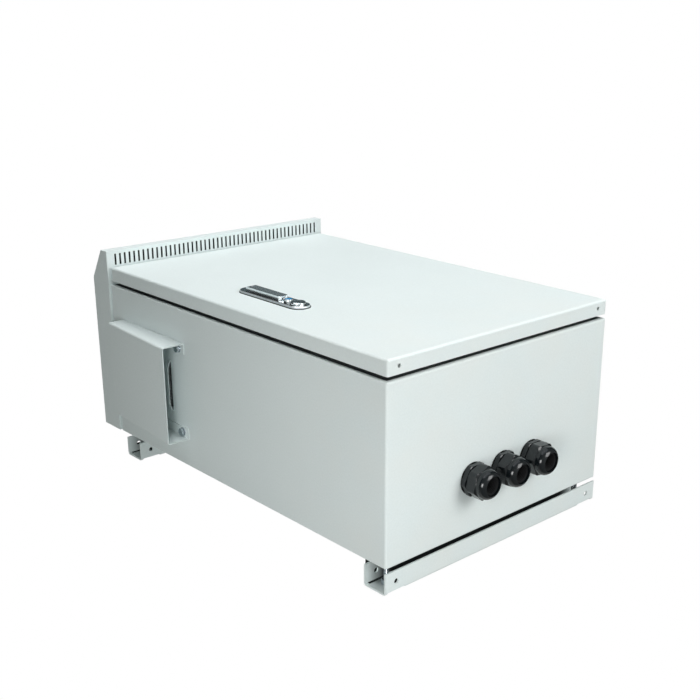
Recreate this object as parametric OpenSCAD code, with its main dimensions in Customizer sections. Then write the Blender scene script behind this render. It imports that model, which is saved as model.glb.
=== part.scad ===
// Wall or pole mounted roadside utility cabinet of folded sheet steel.
// The front faces -Y, the roof is up along +Z and the hinges are on the +X side.
// The origin is the middle of the four wall slots, on the plane that the rear rails bear on.

/* [Body] */
// Width of the body
body_w = 400; // [360:10:480]
// Height of the body, from its bottom face to its top face
body_h = 600; // [560:10:700]
// Depth of the body, from its front flange to its back face
body_d = 232; // [225:1:300]
// Thickness of the body, door and roof sheet
sheet = 1.5; // [1.2:0.1:1.8]
// Outside radius of the sheet's bends
bend_r = 3; // [2.5:0.1:4]
// Width of the flange round the door opening
front_flange = 22; // [20:0.5:26]
// Width of the flange that the rear panel is welded to
rear_flange = 10; // [8:0.5:10]

/* [Door] */
// Depth of the folded door tray
door_t = 20; // [18:0.5:26]
// Dark gap between the door tray and the body
door_gap = 6; // [5.5:0.1:8]
// How far the door's edges lie inside the body's sides
door_inset = 1; // [0.5:0.1:1.5]
// Gap between the door's top edge and the roof
door_top_gap = 3; // [2:0.1:5]
// Thickness of the door gasket
gasket_t = 10; // [8:0.5:11]
// Width of the door gasket
gasket_w = 12; // [8:0.5:13]
// Gap between the gasket and the body's sealing lip
seal_gap = 0.3; // [0.2:0.05:0.6]
// Diameter of the drain holes in the door's bottom edge
drain_d = 5; // [3:0.5:7]
// Distance of the drain holes from the body's sides
drain_edge = 19; // [12:1:40]
// Width of the door's inner stiffening channel
stiffener_w = 30; // [20:1:50]
// Depth of the door's inner stiffening channel
stiffener_d = 12; // [8:0.5:16]
// Distance of the stiffening channel from the door's middle, towards the hinges
stiffener_x = 40; // [0:5:80]

/* [Roof] */
// Height of the roof hood
roof_h = 46; // [40:1:60]
// How far the roof stands out past the body's sides
roof_side = 3; // [2:0.5:5]
// How far the roof stands out past the door's face
roof_front = 23.5; // [23:0.5:40]
// How far the roof's back stays inside the body's back face
roof_rear_inset = 2.5; // [1:0.5:5]
// Height of the roof's front lip, below its slope
roof_lip_h = 16; // [10:1:22]
// Length of the roof's front slope, along the depth
roof_slope = 48.5; // [35:0.5:60]
// Width of the flange that the roof rests on
roof_flange = 25; // [22:1:30]
// Number of slots under the roof's front overhang
slot_count = 49; // [30:1:52]
// Width of one slot
slot_w = 3; // [2:0.1:4]
// Length of one slot
slot_len = 16.6; // [12:0.1:17]
// Distance of the slots from the roof's front edge
slot_front = 5; // [4:0.1:6]
// Distance of the first and last slot from the body's sides
slot_edge = 11.4; // [8:0.1:30]

/* [Hinges] */
// Diameter of the hinge pins
hinge_pin_d = 4; // [3:0.1:4.6]
// Diameter of the hinge knuckles
hinge_knuckle_d = 8; // [7:0.1:8.4]
// Length of one hinge
hinge_len = 54; // [40:1:80]
// Distance of the hinges' middles from the door's ends
hinge_end = 95; // [70:5:140]
// Distance of the hinge axis from the body's side
hinge_inset = 8; // [7.5:0.1:8.5]
// Distance of the hinge axis in front of the body's front edge
hinge_forward = 10; // [9.5:0.1:11]
// Thickness of the hinge leaves
hinge_leaf_t = 2.5; // [2:0.1:3]
// Radial clearance of the moving knuckles on their pins
running_gap = 0.05; // [0.02:0.01:0.08]
// Gap between neighbouring knuckles
knuckle_gap = 0.3; // [0.2:0.05:0.6]

/* [Lock] */
// Distance of the lock's centreline from the body's free side
lock_edge = 69; // [64:1:90]
// Height of the lock's middle above the body's bottom face
lock_z = 292; // [240:2:340]
// Length of the lock's plate
lock_len = 134; // [132:1:160]
// Width of the lock's plate
lock_w = 29; // [27:0.5:36]
// Thickness of the lock's plate
lock_plate_t = 2.5; // [2.2:0.1:4]
// Radius of the plate's outer edge
lock_edge_r = 1.4; // [0.8:0.1:2]
// Thickness of the gasket under the plate
lock_gasket_t = 1; // [0.8:0.1:2]
// How far the gasket shows round the plate
lock_gasket_rim = 0.8; // [0.4:0.1:2]
// Distance of the spindle from the plate's upper end
spindle_end = 17; // [15:0.5:20]
// Distance of the key from the plate's lower end
key_end = 17; // [15:0.5:17]
// Length of the lever, from its pivot to its free end
lever_len = 72; // [64:1:72]
// Width of the lever
lever_w = 15; // [13:0.5:18]
// Thickness of the lever
lever_t = 4.6; // [4.2:0.1:6]
// Gap between the lever and the plate
lever_gap = 0.4; // [0.3:0.05:0.8]
// Diameter of the lever's cross pin
lever_pin_d = 2; // [1.6:0.1:2.4]
// Width of the hub's lug inside the lever's fork
lug_w = 5.6; // [4:0.2:7]
// Diameter of the hub's disc under the lever
hub_disc_d = 20; // [16:0.5:22]
// Diameter of the spindle
spindle_d = 10; // [9.8:0.1:11]
// Side of the spindle's square end
spindle_square = 7; // [6.6:0.1:7]
// Outside diameter of the two sleeves behind the plate
sleeve_d = 16; // [15.5:0.1:16.5]
// Length of the sleeves behind the door's face
sleeve_depth = 16; // [13:0.5:18]
// Length of the latch cam, from the spindle's axis to its tip
cam_len = 57; // [54:1:62]
// Width of the latch cam
cam_w = 20; // [16:0.5:24]
// Thickness of the latch cam
cam_t = 3; // [2:0.1:4]
// Gap between the turned latch cam and the body's flange behind which it catches
cam_gap = 1.2; // [0.4:0.1:1.5]
// Diameter of the lock button
button_d = 13; // [11:0.2:13]
// How far the lock button stands out of the plate
button_out = 3; // [2.6:0.1:4]
// How far the lock button travels
button_travel = 2.5; // [1.5:0.1:2.5]
// Gap between the lock button and the lever's free end
button_lever_gap = 2; // [1.5:0.1:2.5]
// Diameter of the key plug
key_d = 11; // [10:0.1:11.5]
// Diameter of the round boss that holds the key plug
key_boss_d = 21; // [18:0.5:22]
// How far the key's boss stands out of the plate
key_boss_out = 3; // [2.5:0.1:4]

/* [Vent cover] */
// Distance of the vent cover from the body's front edge
cover_front = 47.7; // [44:0.1:55]
// Width of the vent cover, along the body's depth
cover_w = 141.5; // [135:0.5:150]
// Distance of the vent cover's upper end below the body's top face
cover_top = 29.5; // [24:0.5:40]
// Length of the vent cover
cover_len = 162; // [158:0.5:175]
// How far the vent cover's lower end stands out
cover_out_low = 34.5; // [32:0.5:45]
// How far the vent cover's upper end stands out
cover_out_high = 24; // [22:0.5:30]
// Width of the lips that bear on the wall
cover_lip = 16; // [15:0.5:19]
// Distance of the cover's bolts from its ends
cover_bolt_end = 12; // [8:0.5:16]
// Distance of the cover's bolts from its sides
cover_bolt_side = 9; // [8.5:0.1:10]

/* [Louvres] */
// Number of louvres behind the vent cover
louvre_count = 5; // [3:1:5]
// Length of one louvre
louvre_len = 76; // [60:1:84]
// How far a louvre stands out of the wall
louvre_out = 6; // [4:0.1:6.5]
// Height of one louvre
louvre_h = 14; // [10:0.5:16]
// Distance from one louvre to the next
louvre_pitch = 22; // [18:0.5:23]
// Height of the lowest louvre's mouth above the cover's lower end
louvre_start = 36.5; // [34:0.5:40]
// Distance between the wires of the insect mesh
mesh_pitch = 9; // [8:0.5:12]
// Width of one wire of the insect mesh
mesh_wire = 3; // [2:0.1:4]
// Thickness of the insect mesh panel
mesh_t = 1.2; // [0.8:0.1:2]

/* [Cable glands] */
// Distance from one gland to the next
gland_pitch = 55; // [54:0.5:62]
// Distance of the middle gland from the body's middle, along the width
gland_x = 0; // [-30:1:30]
// Distance of the glands from the body's front edge
gland_y = 157; // [90:1:160]
// Diameter of the gland's thread through the wall
gland_thread_d = 34; // [32:0.5:36]
// Diameter of the gland's lower thread, under the dome nut
gland_neck_d = 33; // [31:0.5:34]
// Diameter of the gland's bore
gland_bore_d = 26; // [25:0.5:27]
// Diameter of the opening for the cable
cable_d = 20; // [16:0.5:22]
// Diameter of the gland's sealing washer
gland_washer_d = 42.5; // [41:0.5:48]
// Thickness of the gland's sealing washer
gland_washer_t = 1.5; // [1:0.1:3]
// Width across flats of the gland's hexagons
gland_hex = 40; // [39:0.5:42]
// Thickness of the gland's own hexagon
gland_flange_t = 6.5; // [5:0.5:9]
// Groove between the gland's hexagon and its dome nut
gland_groove = 1.5; // [1:0.1:2.5]
// Length of the dome nut's hexagon
dome_hex_len = 14.5; // [12:0.5:20]
// Length of the dome nut's round end
dome_len = 12.5; // [11:0.5:15]
// Thickness of the locknut inside the body
locknut_t = 7; // [5:0.5:9]

/* [Rear rails] */
// Height of one rail
rail_h = 38; // [36:1:44]
// Depth of one rail
rail_d = 28.3; // [26:0.1:34]
// Thickness of the rails' sheet
rail_t = 2.5; // [2:0.1:3]
// Gap between the rails and the body's back
rail_gap = 6; // [5.5:0.1:9]
// Distance of the upper rail's upper edge below the body's top face
upper_rail_top = 15; // [10:1:60]
// Distance of the stand-off studs from the rails' ends
stud_end = 20; // [18:0.5:26]
// Distance of the flange holes from the rails' ends
flange_hole_end = 17.7; // [10:0.1:24]
// Diameter of the flange holes
flange_hole_d = 7; // [4:0.5:9]
// Length of the notches along the rails' folds
notch_len = 30; // [20:1:34]
// Distance of the notches from the rails' ends
notch_end = 4; // [3:0.5:8]
// Distance of the wall slots from the rails' ends
slot_end = 50; // [45:1:70]
// Length of one wall slot
wall_slot_len = 24; // [18:1:28]
// Width of one wall slot
wall_slot_w = 9; // [7:0.5:11]

/* [Inside] */
// Margin of the mounting plate inside the body, at the sides
plate_side = 40; // [34:1:60]
// Margin of the mounting plate inside the body, at the top and bottom
plate_end = 60; // [55:1:100]
// Thickness of the mounting plate
plate_t = 2; // [1.5:0.1:3]
// Distance of the mounting plate in front of the rear panel
plate_stand = 16; // [14:0.5:25]
// Distance of the plate's studs from its edges
plate_stud_edge = 15; // [12:1:25]
// Height of the earth stud above the body's bottom face
earth_z = 60; // [40:1:90]
// Distance of the earth stud from the body's front edge
earth_y = 60; // [40:1:90]

/* [Hidden] */
$fn = 48;
eps = 0.5;
fit = 0.1;
stud_gap = 0.05;
m8 = 8;
m8_hex = 13;
m8_nut = 6.5;
m6 = 6;
m6_hex = 10;
m6_head = 4;
m6_nut = 5;
thread_spare = 3;
stud_head_d = 11;
stud_head_t = 1.2;
washer_d = 13;
washer_t = 1.2;
lip_leaf_gap = 0.5;

// Planes along the depth, from the wall to the roof's front edge
back_y = -rail_d - rail_gap;
front_y = back_y - body_d;
door_back_y = front_y - door_gap;
door_face_y = door_back_y - door_t;
roof_front_y = door_face_y - roof_front;
roof_back_y = back_y - roof_rear_inset;

// Heights and half widths
half_w = body_w / 2;
inner_half = half_w - sheet;
door_half = half_w - door_inset;
door_top = body_h - door_top_gap;
opening_half = half_w - front_flange;
opening_top = door_top - front_flange + door_inset;
roof_half = half_w + roof_side;
roof_top = body_h + roof_h;
upper_rail_z = body_h - upper_rail_top - rail_h;
mount_z = (upper_rail_z + rail_h) / 2;
lip_h = door_gap + door_t - sheet - gasket_t - seal_gap;

// Hinge axis
hinge_x = half_w - hinge_inset;
hinge_y = front_y - hinge_forward;
hinge_zs = [hinge_end, door_top - hinge_end];
outer_knuckle = hinge_len / 3;
leaf_foot = hinge_x - opening_half - sheet - lip_leaf_gap;

// Lock levels, measured outwards from the door's face
lock_x = -half_w + lock_edge;
spindle_z = lock_z + lock_len / 2 - spindle_end;
key_z = lock_z - lock_len / 2 + key_end;
plate_top = lock_gasket_t + lock_plate_t;
hub_seat = lock_gasket_t + lock_plate_t / 2;
lever_low = plate_top + lever_gap;
lever_pin_h = lever_low + lever_t / 2;
lug_gap = 0.2;
seat_gap = 0.1;
cam_depth = door_gap + door_t + sheet + cam_gap;
clip_t = 1.2;
clip_rim = 3;
button_z = spindle_z - lever_len - button_lever_gap - button_d / 2;
button_gap = 0.3;
button_flange = 1;
button_flange_t = 2;
button_case_wall = 1.2;
button_case_d = button_d + 2 * (button_flange + button_gap + button_case_wall);
button_case_depth = 12;
key_boss_top = plate_top + key_boss_out;
key_head_rim = 1.5;
key_head_t = 2;
lock_nut_t = 4;
lock_nut_hex = sleeve_d + 3;
m5 = 5;
m5_hex = 8;
m5_head = 3.5;
cam_washer_d = 12;
cam_screw_len = 12;

// Vent cover and louvres
cover_y0 = front_y + cover_front;
cover_y1 = cover_y0 + cover_w;
cover_z = body_h - cover_top - cover_len;
cover_lean = atan((cover_out_low - cover_out_high) / cover_len);
cover_bolt_ys = [cover_y0 + cover_bolt_side, cover_y1 - cover_bolt_side];
cover_bolt_zs = [cover_z + cover_bolt_end, cover_z + cover_len - cover_bolt_end];
louvre_y = (cover_y0 + cover_y1) / 2;
louvre_zs = [for (i = [0 : louvre_count - 1]) cover_z + louvre_start + i * louvre_pitch];
mesh_margin = 8;

// Glands
gland_xs = [for (i = [-1 : 1]) gland_x + i * gland_pitch];
gland_cy = front_y + gland_y;
flange_z = -gland_washer_t - gland_flange_t;
dome_top_z = flange_z - gland_groove;
dome_mid_z = dome_top_z - dome_hex_len;
dome_end_z = dome_mid_z - dome_len;
dome_d = gland_hex - 1;
mouth_d = gland_bore_d + 5;
neck_end_z = dome_mid_z + 2;
insert_end_z = dome_end_z + 4;

// Rails, studs and the mounting plate
panel_out_y = back_y - sheet;
panel_in_y = panel_out_y - sheet;
panel_half = inner_half - bend_r;
stud_xs = [-half_w + stud_end, half_w - stud_end];
rail_zs = [0, upper_rail_z];
rail_mid_zs = [for (z = rail_zs) z + rail_h / 2];
rail_stud_in_y = panel_in_y - m8_nut - thread_spare;
notch_flange = 3;
notch_web = 6;
plate_y = panel_in_y - plate_stand;
plate_half = half_w - plate_side;
plate_stud_xs = [-plate_half + plate_stud_edge, plate_half - plate_stud_edge];
plate_stud_zs = [plate_end + plate_stud_edge, body_h - plate_end - plate_stud_edge];
plate_stud_in_y = plate_y - plate_t - m8_nut - thread_spare;

// Earth stud
earth_foot_t = 1.5;
earth_lug_t = 2;
earth_nut_xs = [-inner_half + earth_foot_t, -inner_half + earth_foot_t + m6_nut + earth_lug_t];

// Roof bolts and top vents
roof_bolt_x = half_w - roof_flange / 2 - sheet - 2;
roof_bolt_ys = [front_y + roof_flange / 2 + 5, roof_back_y - roof_flange / 2 - 3];
top_vent_count = 12;
top_vent_w = 4;
top_vent_len = 70;
top_vent_pitch = 22;
top_vent_y = (front_y + back_y) / 2;
slope_rise = (roof_h - roof_lip_h) / roof_slope;

// Colours
coat = "#dfe5e3";
zinc = "#c3ccd2";
chrome = "#d5dadd";
rubber = "#202224";
plastic = "#1d2124";

// Moves a piece drawn from the body's bottom face to the frame's origin
module from_base() {
    translate([0, 0, -mount_z]) children();
}

// Extrudes an outline in the Y-Z plane along X
module extrude_x(x0, x1) {
    translate([x0, 0, 0]) rotate([90, 0, 90]) linear_extrude(x1 - x0) children();
}

// Extrudes an outline in the X-Z plane along Y
module extrude_y(y0, y1) {
    translate([0, y1, 0]) rotate([90, 0, 0]) linear_extrude(y1 - y0) children();
}

// Extrudes an outline in the X-Y plane along Z
module extrude_z(z0, z1) {
    translate([0, 0, z0]) linear_extrude(z1 - z0) children();
}

// A block between two opposite corners
module block(low, high) {
    translate(low) cube(high - low);
}

// A rectangle with round corners
module rounded_rect(low, high, r) {
    translate([low[0] + r, low[1]]) square([high[0] - low[0] - 2 * r, high[1] - low[1]]);
    translate([low[0], low[1] + r]) square([high[0] - low[0], high[1] - low[1] - 2 * r]);
    for (x = [low[0] + r, high[0] - r], y = [low[1] + r, high[1] - r])
        translate([x, y]) circle(r);
}

// A box whose edges are rounded like bent sheet
module rounded_box(low, high, r) {
    intersection() {
        extrude_x(low[0], high[0]) rounded_rect([low[1], low[2]], [high[1], high[2]], r);
        extrude_y(low[1], high[1]) rounded_rect([low[0], low[2]], [high[0], high[2]], r);
        extrude_z(low[2], high[2]) rounded_rect([low[0], low[1]], [high[0], high[1]], r);
    }
}

// A cylinder along X, Y or Z between two points of that axis
module rod_x(x0, x1, y, z, d) {
    translate([x0, y, z]) rotate([0, 90, 0]) cylinder(h = x1 - x0, d = d);
}

module rod_y(y0, y1, x, z, d) {
    translate([x, y0, z]) rotate([-90, 0, 0]) cylinder(h = y1 - y0, d = d);
}

module rod_z(z0, z1, x, y, d) {
    translate([x, y, z0]) cylinder(h = z1 - z0, d = d);
}

// A hexagon across its flats
module hexagon(across) {
    circle(d = across / cos(30), $fn = 6);
}

// A hexagonal prism along X, Y or Z
module hex_x(x0, x1, y, z, across) {
    translate([x0, y, z]) rotate([90, 0, 90]) linear_extrude(x1 - x0) hexagon(across);
}

module hex_y(y0, y1, x, z, across) {
    translate([x, y1, z]) rotate([90, 0, 0]) linear_extrude(y1 - y0) hexagon(across);
}

module hex_z(z0, z1, x, y, across) {
    translate([x, y, z0]) linear_extrude(z1 - z0) hexagon(across);
}

// A slot outline with round ends, along the first axis
module slot_outline(length, width) {
    square([length - width, width], center = true);
    for (side = [-1, 1]) translate([side * (length - width) / 2, 0]) circle(d = width);
}

// A level on the lock, measured outwards from the door's face
function out_y(h) = door_face_y - h;

// The form of one louvre: a quarter lens with round ends, standing out along -X.
// It is drawn on the wall's outer face and starts the root's depth behind that face.
module louvre_form(out, height, root) {
    arch = (out * out + height * height) / (2 * out);
    straight = louvre_len / 2 - louvre_h;
    module section() {
        intersection() {
            translate([0, out - arch]) circle(arch, $fn = 96);
            translate([0, -root]) square([height, out + root]);
        }
    }
    rotate([0, -90, 0]) {
        translate([0, straight, 0]) rotate([90, 0, 0]) linear_extrude(2 * straight) section();
        translate([0, straight, 0]) rotate_extrude(angle = 90) section();
        translate([0, -straight, 0]) rotate([0, 0, -90]) rotate_extrude(angle = 90) section();
    }
}

// Body
module body_wrap() {
    color(coat) from_base() {
        difference() {
            union() {
                difference() {
                    rounded_box([-half_w, front_y, 0], [half_w, back_y, body_h], bend_r);
                    rounded_box([-inner_half, front_y + sheet, sheet],
                        [inner_half, back_y - sheet, body_h - sheet], bend_r - sheet);
                    block([-opening_half, front_y - eps, front_flange],
                        [opening_half, front_y + sheet + eps, opening_top]);
                    block([-half_w + rear_flange, back_y - sheet - eps, rear_flange],
                        [half_w - rear_flange, back_y + eps, body_h - rear_flange]);
                }
                sealing_lip();
                for (z = louvre_zs) translate([-half_w, louvre_y, z])
                    louvre_form(louvre_out, louvre_h, sheet / 2);
            }
            for (z = louvre_zs) translate([-half_w, louvre_y, z]) {
                louvre_form(louvre_out - sheet, louvre_h - sheet, sheet + eps);
                intersection() {
                    translate([0, 0, -eps]) louvre_form(louvre_out - sheet, louvre_h - sheet, 0);
                    block([-louvre_out, -louvre_len, -2 * eps], [0, louvre_len, eps]);
                }
            }
            for (x = gland_xs) rod_z(-eps, sheet + eps, x, gland_cy, gland_thread_d + 2 * fit);
            for (y = cover_bolt_ys, z = cover_bolt_zs)
                rod_x(-half_w - eps, -inner_half + eps, y, z, m6 + 2 * fit);
            for (side = [-1, 1], y = roof_bolt_ys)
                rod_z(body_h - sheet - eps, body_h + eps, side * roof_bolt_x, y, m6 + 2 * fit);
            for (i = [0 : top_vent_count - 1])
                translate([(i - (top_vent_count - 1) / 2) * top_vent_pitch, top_vent_y, body_h - sheet - eps])
                    linear_extrude(sheet + 2 * eps) rotate(90) slot_outline(top_vent_len, top_vent_w);
        }
    }
}

// The lip that stands forward round the door opening and presses on the gasket
module sealing_lip() {
    difference() {
        block([-opening_half - sheet, front_y - lip_h, front_flange - sheet],
            [opening_half + sheet, front_y + sheet, opening_top + sheet]);
        block([-opening_half, front_y - lip_h - eps, front_flange],
            [opening_half, front_y + sheet + eps, opening_top]);
    }
}

module rear_panel() {
    color(coat) from_base() difference() {
        block([-panel_half, panel_in_y, bend_r + sheet], [panel_half, panel_out_y, body_h - bend_r - sheet]);
        for (x = stud_xs, z = rail_mid_zs)
            rod_y(panel_in_y - eps, panel_out_y + eps, x, z, m8 + 2 * fit);
        for (x = plate_stud_xs, z = plate_stud_zs) {
            rod_y(panel_in_y - eps, panel_out_y + eps, x, z, m8 + 2 * stud_gap);
            rod_y(panel_out_y - stud_head_t, panel_out_y + eps, x, z, stud_head_d + 2 * stud_gap);
        }
    }
}

// Roof
module roof_outline(inset) {
    steep = inset * sqrt(1 + slope_rise * slope_rise);
    front = roof_front_y + inset;
    slope_low = body_h + roof_lip_h + slope_rise * inset - steep;
    slope_back = roof_front_y + (roof_h - inset - roof_lip_h + steep) / slope_rise;
    polygon([[front, body_h + inset], [front, slope_low], [slope_back, roof_top - inset],
        [roof_back_y - inset, roof_top - inset], [roof_back_y - inset, body_h + inset]]);
}

module roof_shell(inset, r) {
    intersection() {
        extrude_x(-roof_half + inset, roof_half - inset) roof_outline(inset);
        extrude_y(roof_front_y, roof_back_y)
            rounded_rect([-roof_half + inset, body_h + inset - r], [roof_half - inset, roof_top - inset], r);
    }
}

module roof_hood() {
    slot_pitch = 2 * (half_w - slot_edge) / (slot_count - 1);
    color(coat) from_base() difference() {
        roof_shell(0, bend_r);
        roof_shell(sheet, bend_r - sheet);
        block([-half_w + roof_flange, front_y + roof_flange, body_h - eps],
            [half_w - roof_flange, roof_back_y - roof_flange, body_h + sheet + eps]);
        for (i = [0 : slot_count - 1])
            translate([-half_w + slot_edge + i * slot_pitch,
                roof_front_y + slot_front + slot_len / 2, body_h - eps])
                linear_extrude(sheet + 2 * eps) square([slot_w, slot_len], center = true);
        for (side = [-1, 1], y = roof_bolt_ys)
            rod_z(body_h - eps, body_h + sheet + eps, side * roof_bolt_x, y, m6 + 2 * fit);
    }
}

module roof_bolts() {
    head_z = body_h - sheet;
    color(zinc) from_base() for (side = [-1, 1], y = roof_bolt_ys) {
        hex_z(head_z - m6_head, head_z, side * roof_bolt_x, y, m6_hex);
        rod_z(head_z, body_h + sheet + m6_nut + thread_spare, side * roof_bolt_x, y, m6);
    }
}

module roof_nuts() {
    nut_z = body_h + sheet;
    color(zinc) from_base() for (side = [-1, 1], y = roof_bolt_ys) difference() {
        hex_z(nut_z, nut_z + m6_nut, side * roof_bolt_x, y, m6_hex);
        rod_z(nut_z - eps, nut_z + m6_nut + eps, side * roof_bolt_x, y, m6 + 2 * fit);
    }
}

// Door
module door_shape(inset, r) {
    intersection() {
        rounded_box([-door_half + inset, door_face_y + inset, inset],
            [door_half - inset, door_back_y + 2 * bend_r, door_top - inset], r);
        block([-door_half, door_face_y, 0], [door_half, door_back_y + (inset > 0 ? eps : 0), door_top]);
    }
}

module door_panel() {
    color(coat) from_base() difference() {
        door_shape(0, bend_r);
        door_shape(sheet, bend_r - sheet);
        for (side = [-1, 1])
            rod_z(-eps, sheet + eps, side * (half_w - drain_edge), (door_face_y + door_back_y) / 2, drain_d);
        lock_stems(door_face_y - eps, door_face_y + sheet + eps, door_face_y + sheet + eps, fit);
    }
}

module door_stiffener() {
    low_z = front_flange + gasket_w;
    high_z = opening_top - gasket_w;
    brim = 10;
    half = stiffener_w / 2;
    color(coat) from_base() extrude_z(low_z, high_z) translate([stiffener_x, door_face_y + sheet])
        polygon([[-half - brim, 0], [-half + sheet, 0], [-half + sheet, stiffener_d - sheet],
            [half - sheet, stiffener_d - sheet], [half - sheet, 0], [half + brim, 0], [half + brim, sheet],
            [half, sheet], [half, stiffener_d], [-half, stiffener_d], [-half, sheet], [-half - brim, sheet]]);
}

module door_gasket() {
    middle = sheet / 2;
    out = gasket_w / 2;
    low_y = door_face_y + sheet;
    color(rubber) from_base() difference() {
        block([-opening_half - middle - out, low_y, front_flange - middle - out],
            [opening_half + middle + out, low_y + gasket_t, opening_top + middle + out]);
        block([-opening_half - middle + out, low_y - eps, front_flange - middle + out],
            [opening_half + middle - out, low_y + gasket_t + eps, opening_top + middle - out]);
    }
}

// Hinges: two outer knuckles on the body and one middle knuckle on the door
module hinge_body_leaves() {
    color(zinc) from_base() for (z = hinge_zs, end = [-1, 1]) {
        low = z + (end < 0 ? -hinge_len / 2 : hinge_len / 2 - outer_knuckle);
        translate([hinge_x, hinge_y, low]) difference() {
            union() {
                cylinder(h = outer_knuckle, d = hinge_knuckle_d);
                translate([-leaf_foot, -hinge_leaf_t / 2, 0])
                    cube([leaf_foot, hinge_leaf_t, outer_knuckle]);
                translate([-leaf_foot, -hinge_leaf_t / 2, 0])
                    cube([hinge_leaf_t, hinge_forward + hinge_leaf_t / 2, outer_knuckle]);
            }
            translate([0, 0, -eps]) cylinder(h = outer_knuckle + 2 * eps, d = hinge_pin_d + 2 * running_gap);
        }
    }
}

module hinge_door_leaves() {
    length = hinge_len - 2 * outer_knuckle - 2 * knuckle_gap;
    reach = door_gap + door_t - hinge_forward - sheet;
    color(zinc) from_base() for (z = hinge_zs) translate([hinge_x, hinge_y, z - length / 2]) difference() {
        union() {
            cylinder(h = length, d = hinge_knuckle_d);
            translate([-hinge_leaf_t / 2, -reach, 0]) cube([hinge_leaf_t, reach, length]);
        }
        translate([0, 0, -eps]) cylinder(h = length + 2 * eps, d = hinge_pin_d + 2 * running_gap);
    }
}

module hinge_pins() {
    head_t = 1.5;
    color(zinc) from_base() for (z = hinge_zs) {
        rod_z(z - hinge_len / 2, z + hinge_len / 2, hinge_x, hinge_y, hinge_pin_d);
        rod_z(z + hinge_len / 2, z + hinge_len / 2 + head_t, hinge_x, hinge_y, hinge_knuckle_d - 1);
    }
}

// Lock
// Sweeps a section (radius, height) round the lock's long outline
module lock_sweep() {
    straight = (lock_len - lock_w) / 2;
    translate([lock_x, door_face_y, lock_z]) rotate([90, 0, 0]) {
        translate([0, straight, 0]) rotate_extrude(angle = 180) children();
        translate([0, -straight, 0]) rotate([0, 0, 180]) rotate_extrude(angle = 180) children();
        for (side = [0, 180]) rotate([0, 0, side]) translate([0, straight, 0])
            rotate([90, 0, 0]) linear_extrude(2 * straight) children();
    }
}

// The two sleeves and the button's case, as holes with a gap
module lock_stems(y0, sleeve_y, case_y, gap) {
    for (z = [spindle_z, key_z]) rod_y(y0, sleeve_y, lock_x, z, sleeve_d + 2 * gap);
    rod_y(y0, case_y, lock_x, button_z, button_case_d + 2 * gap);
}

module lock_gasket() {
    color(rubber) from_base() difference() {
        lock_sweep() square([lock_w / 2 + lock_gasket_rim, lock_gasket_t]);
        lock_stems(out_y(lock_gasket_t) - eps, door_face_y + eps, door_face_y + eps, fit);
    }
}

module lock_section() {
    r = lock_w / 2;
    translate([0, lock_gasket_t]) {
        square([r, lock_plate_t - lock_edge_r]);
        square([r - lock_edge_r, lock_plate_t]);
        intersection() {
            translate([r - lock_edge_r, lock_plate_t - lock_edge_r]) circle(lock_edge_r);
            square([r, lock_plate_t]);
        }
    }
}

module lock_plate() {
    stem_y = out_y(lock_gasket_t);
    sleeve_y = door_face_y + sleeve_depth;
    case_y = door_face_y + button_case_depth;
    color(chrome) from_base() difference() {
        union() {
            lock_sweep() lock_section();
            rod_y(stem_y - eps, sleeve_y, lock_x, spindle_z, sleeve_d);
            rod_y(stem_y - eps, case_y, lock_x, button_z, button_case_d);
        }
        rod_y(out_y(plate_top) - eps, sleeve_y + eps, lock_x, spindle_z, spindle_d + 2 * running_gap);
        rod_y(out_y(plate_top) - eps, out_y(hub_seat), lock_x, spindle_z, hub_disc_d + 2 * seat_gap);
        rod_y(out_y(plate_top) - eps, stem_y + eps, lock_x, key_z, sleeve_d + 2 * fit);
        rod_y(out_y(plate_top) - eps, case_y + eps, lock_x, button_z, button_d + 2 * button_gap);
        rod_y(door_face_y, case_y + eps, lock_x, button_z, button_d + 2 * button_flange + 2 * button_gap);
    }
}

// The key's barrel: a boss on the plate and a sleeve through the door
module key_barrel() {
    boss_y = out_y(key_boss_top);
    sleeve_y = door_face_y + sleeve_depth;
    color(chrome) from_base() difference() {
        union() {
            rod_y(boss_y, out_y(plate_top), lock_x, key_z, key_boss_d);
            rod_y(out_y(plate_top) - eps, sleeve_y, lock_x, key_z, sleeve_d);
        }
        rod_y(boss_y - eps, sleeve_y + eps, lock_x, key_z, key_d + 2 * running_gap);
        rod_y(boss_y - eps, boss_y + key_head_t + seat_gap, lock_x, key_z,
            key_d + 2 * key_head_rim + 2 * seat_gap);
    }
}

module lock_nuts() {
    nut_y = door_face_y + sheet;
    color(zinc) from_base() for (z = [spindle_z, key_z]) difference() {
        hex_y(nut_y, nut_y + lock_nut_t, lock_x, z, lock_nut_hex);
        rod_y(nut_y - eps, nut_y + lock_nut_t + eps, lock_x, z, sleeve_d + 2 * fit);
    }
}

module lock_button() {
    seat_y = door_face_y + seat_gap;
    color("#1f9ad6") from_base() {
        rod_y(out_y(plate_top + button_out), seat_y + button_flange_t, lock_x, button_z, button_d);
        rod_y(seat_y, seat_y + button_flange_t, lock_x, button_z, button_d + 2 * button_flange);
    }
}

// Closes the button's case and carries its spring post
module button_case_cap() {
    low_y = door_face_y + button_case_depth;
    post_y = door_face_y + seat_gap + button_flange_t + button_travel + 1;
    color(plastic) from_base() {
        rod_y(low_y, low_y + 2, lock_x, button_z, button_case_d);
        rod_y(post_y, low_y + 1, lock_x, button_z, button_d / 2);
    }
}

module key_plug() {
    face_y = out_y(key_boss_top);
    slit_w = 1.4;
    slit_len = 7;
    slit_depth = 4;
    color(chrome) from_base() difference() {
        union() {
            rod_y(face_y, face_y + key_head_t, lock_x, key_z, key_d + 2 * key_head_rim);
            rod_y(face_y, door_face_y + sleeve_depth + clip_t + 2, lock_x, key_z, key_d);
        }
        block([lock_x - slit_w / 2, face_y - eps, key_z - slit_len / 2],
            [lock_x + slit_w / 2, face_y + slit_depth, key_z + slit_len / 2]);
    }
}

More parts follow.
